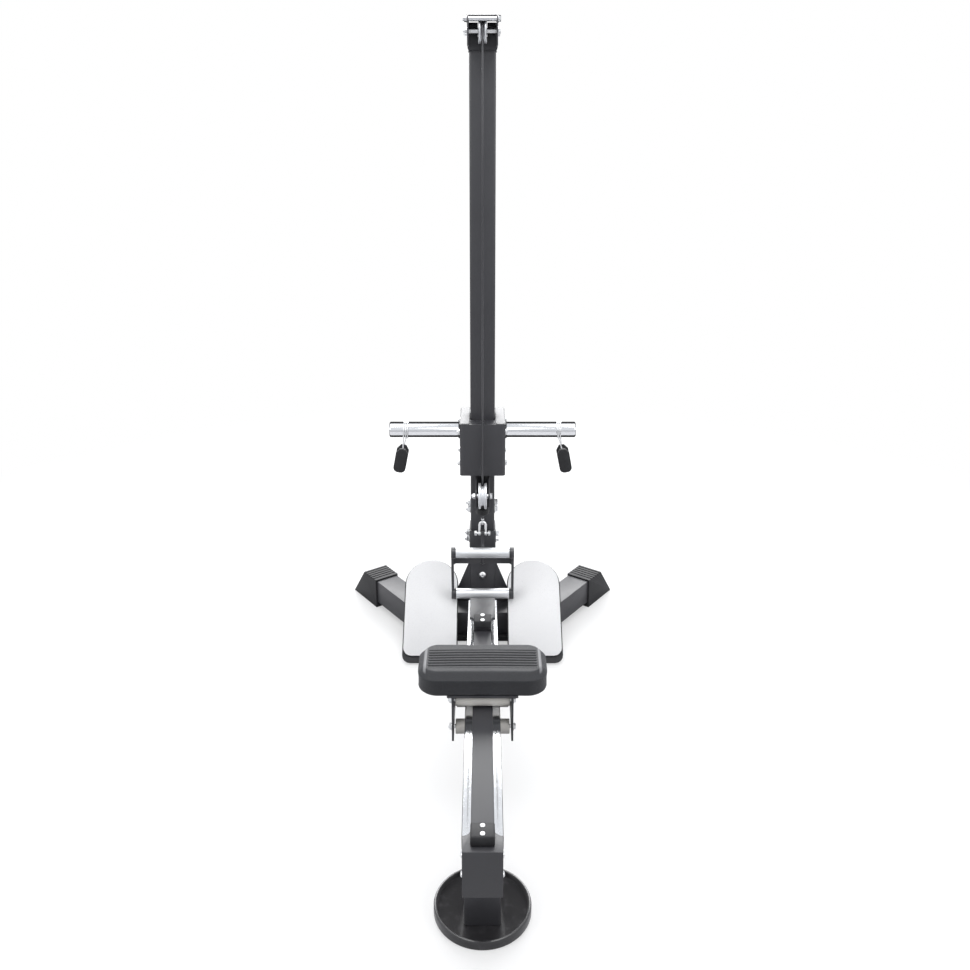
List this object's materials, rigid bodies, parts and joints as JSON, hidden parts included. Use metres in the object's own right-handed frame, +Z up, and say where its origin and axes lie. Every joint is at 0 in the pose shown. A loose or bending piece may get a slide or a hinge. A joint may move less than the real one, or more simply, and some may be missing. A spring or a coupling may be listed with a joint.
{
  "type": "seated row machine",
  "caption": "Plate loaded seated row machine: a post with a rolling weight carriage, a cable to a pull handle, and a rolling seat on a rail.",
  "frame": {"origin": "on the floor, under the middle of the whole machine's bounding box", "axes": "+Z up along the post, +Y from the seat's end towards the post, +X to the right of a user who sits and faces the post"},
  "size_m": [0.934, 1.662, 1.9515],
  "materials": {
    "coat": "satin powder coat",
    "chrome": "polished",
    "zinc": "bright zinc",
    "silver": "satin",
    "rubber": "matte",
    "black_plate": "matte black",
    "vinyl": "matte vinyl over foam",
    "white_pad": "fine speckled grip pad",
    "nylon": "satin nylon",
    "gloss_black": "gloss black",
    "cable_skin": "coated steel cable"
  },
  "bodies": {
    "frame": {"base_frame": "coat", "boot_left": "rubber", "boot_right": "rubber", "floor_pad": "rubber", "tower": "coat", "tower_socket": "coat", "top_bracket": "coat", "top_front_axle": "zinc", "top_rear_axle": "zinc", "low_axle": "zinc", "top_tie_bar": "chrome", "low_bracket": "coat", "rail": "coat", "rail_strip_left": "chrome", "rail_strip_right": "chrome", "front_bracket": "coat", "front_post": "coat", "rear_bracket": "coat", "rear_post": "coat", "rear_disc": "gloss_black", "rear_stop": "rubber", "front_stop": "rubber", "foot_bracket_left": "coat", "foot_bracket_right": "coat", "foot_plate_left": "black_plate", "foot_plate_right": "black_plate", "foot_pad_left": "white_pad", "foot_pad_right": "white_pad", "cable_front": "cable_skin", "cable_lead": "cable_skin", "cable_bumper": "rubber"},
    "trolley": {"trolley_sleeve": "coat", "loading_bar_left": "chrome", "loading_bar_right": "chrome", "cable_anchor": "zinc", "cable_rear": "cable_skin"},
    "top_front_pulley": {"top_front_pulley": "silver"},
    "top_rear_pulley": {"top_rear_pulley": "silver"},
    "low_pulley": {"low_pulley": "silver"},
    "guide_roller_front_low": {"guide_roller_front_low": "zinc"},
    "guide_roller_rear_low": {"guide_roller_rear_low": "zinc"},
    "guide_roller_front_high": {"guide_roller_front_high": "zinc"},
    "guide_roller_rear_high": {"guide_roller_rear_high": "zinc"},
    "collar_left": {"collar_spring_left": "zinc", "collar_grip_left_front": "rubber", "collar_grip_left_rear": "rubber"},
    "collar_right": {"collar_spring_right": "zinc", "collar_grip_right_front": "rubber", "collar_grip_right_rear": "rubber"},
    "cable_end": {"cable_end": "zinc", "shackle": "zinc"},
    "handle": {"handle_frame": "coat", "grip_upper": "silver", "grip_lower": "silver"},
    "seat": {"seat_pad": "vinyl", "seat_carriage": "coat"},
    "seat_roller_rear_upper": {"seat_roller_rear_upper": "nylon"},
    "seat_roller_rear_lower": {"seat_roller_rear_lower": "nylon"},
    "seat_roller_front_upper": {"seat_roller_front_upper": "nylon"},
    "seat_roller_front_lower": {"seat_roller_front_lower": "nylon"}
  },
  "joints": [
    {"name": "trolley_lift", "type": "slide", "parent": "frame", "child": "trolley", "axis": [0, 0, 1], "range_m": [0, 0.75], "deforming": ["cable_rear"]},
    {"name": "top_front_pulley_spin", "type": "hinge", "parent": "frame", "child": "top_front_pulley", "pos_m": [0, 0.48196, 1.9095], "axis": [1, 0, 0], "range_deg": [-10, 1467]},
    {"name": "top_rear_pulley_spin", "type": "hinge", "parent": "frame", "child": "top_rear_pulley", "pos_m": [0, 0.59596, 1.9095], "axis": [1, 0, 0], "range_deg": [-10, 1467]},
    {"name": "low_pulley_spin", "type": "hinge", "parent": "frame", "child": "low_pulley", "pos_m": [0, 0.41846, 0.521], "axis": [-1, 0, 0], "range_deg": [-10, 1274]},
    {"name": "guide_roller_front_low_spin", "type": "hinge", "parent": "trolley", "child": "guide_roller_front_low", "pos_m": [0, 0.49716, 0.6035], "axis": [-1, 0, 0], "range_deg": [-10, 2159]},
    {"name": "guide_roller_rear_low_spin", "type": "hinge", "parent": "trolley", "child": "guide_roller_rear_low", "pos_m": [0, 0.61576, 0.6035], "axis": [1, 0, 0], "range_deg": [-10, 2159]},
    {"name": "guide_roller_front_high_spin", "type": "hinge", "parent": "trolley", "child": "guide_roller_front_high", "pos_m": [0, 0.49716, 0.707], "axis": [-1, 0, 0], "range_deg": [-10, 2159]},
    {"name": "guide_roller_rear_high_spin", "type": "hinge", "parent": "trolley", "child": "guide_roller_rear_high", "pos_m": [0, 0.61576, 0.707], "axis": [1, 0, 0], "range_deg": [-10, 2159]},
    {"name": "collar_left_slide", "type": "slide", "parent": "trolley", "child": "collar_left", "axis": [-1, 0, 0], "range_m": [-0.14, 0.1]},
    {"name": "collar_right_slide", "type": "slide", "parent": "trolley", "child": "collar_right", "axis": [1, 0, 0], "range_m": [-0.14, 0.1]},
    {"name": "handle_pull", "type": "slide", "parent": "frame", "child": "cable_end", "axis": [0, -0.829, 0.5592], "range_m": [0, 0.75], "deforming": ["cable_lead"]},
    {"name": "handle_swing", "type": "hinge", "parent": "cable_end", "child": "handle", "pos_m": [0, 0.45246, 0.37775], "axis": [-1, 0, 0], "range_deg": [0, 95]},
    {"name": "seat_slide", "type": "slide", "parent": "frame", "child": "seat", "axis": [0, 1, 0], "range_m": [-0.297, 0.222]},
    {"name": "seat_roller_rear_upper_spin", "type": "hinge", "parent": "seat", "child": "seat_roller_rear_upper", "pos_m": [0, -0.336, 0.3005], "axis": [-1, 0, 0], "range_deg": [-1108, 831]},
    {"name": "seat_roller_rear_lower_spin", "type": "hinge", "parent": "seat", "child": "seat_roller_rear_lower", "pos_m": [0, -0.336, 0.2237], "axis": [1, 0, 0], "range_deg": [-955, 717]},
    {"name": "seat_roller_front_upper_spin", "type": "hinge", "parent": "seat", "child": "seat_roller_front_upper", "pos_m": [0, -0.226, 0.3005], "axis": [-1, 0, 0], "range_deg": [-1108, 831]},
    {"name": "seat_roller_front_lower_spin", "type": "hinge", "parent": "seat", "child": "seat_roller_front_lower", "pos_m": [0, -0.226, 0.2237], "axis": [1, 0, 0], "range_deg": [-955, 717]}
  ],
  "couplings": [
    {"joint": "top_front_pulley_spin", "follows": "trolley_lift", "rad_per_m": 33.898},
    {"joint": "top_rear_pulley_spin", "follows": "trolley_lift", "rad_per_m": 33.898},
    {"joint": "low_pulley_spin", "follows": "trolley_lift", "rad_per_m": 29.412},
    {"joint": "guide_roller_front_low_spin", "follows": "trolley_lift", "rad_per_m": 50},
    {"joint": "guide_roller_rear_low_spin", "follows": "trolley_lift", "rad_per_m": 50},
    {"joint": "guide_roller_front_high_spin", "follows": "trolley_lift", "rad_per_m": 50},
    {"joint": "guide_roller_rear_high_spin", "follows": "trolley_lift", "rad_per_m": 50},
    {"joint": "handle_pull", "follows": "trolley_lift", "ratio": 1},
    {"joint": "seat_roller_rear_upper_spin", "follows": "seat_slide", "rad_per_m": 64.516},
    {"joint": "seat_roller_rear_lower_spin", "follows": "seat_slide", "rad_per_m": 55.556},
    {"joint": "seat_roller_front_upper_spin", "follows": "seat_slide", "rad_per_m": 64.516},
    {"joint": "seat_roller_front_lower_spin", "follows": "seat_slide", "rad_per_m": 55.556}
  ]
}
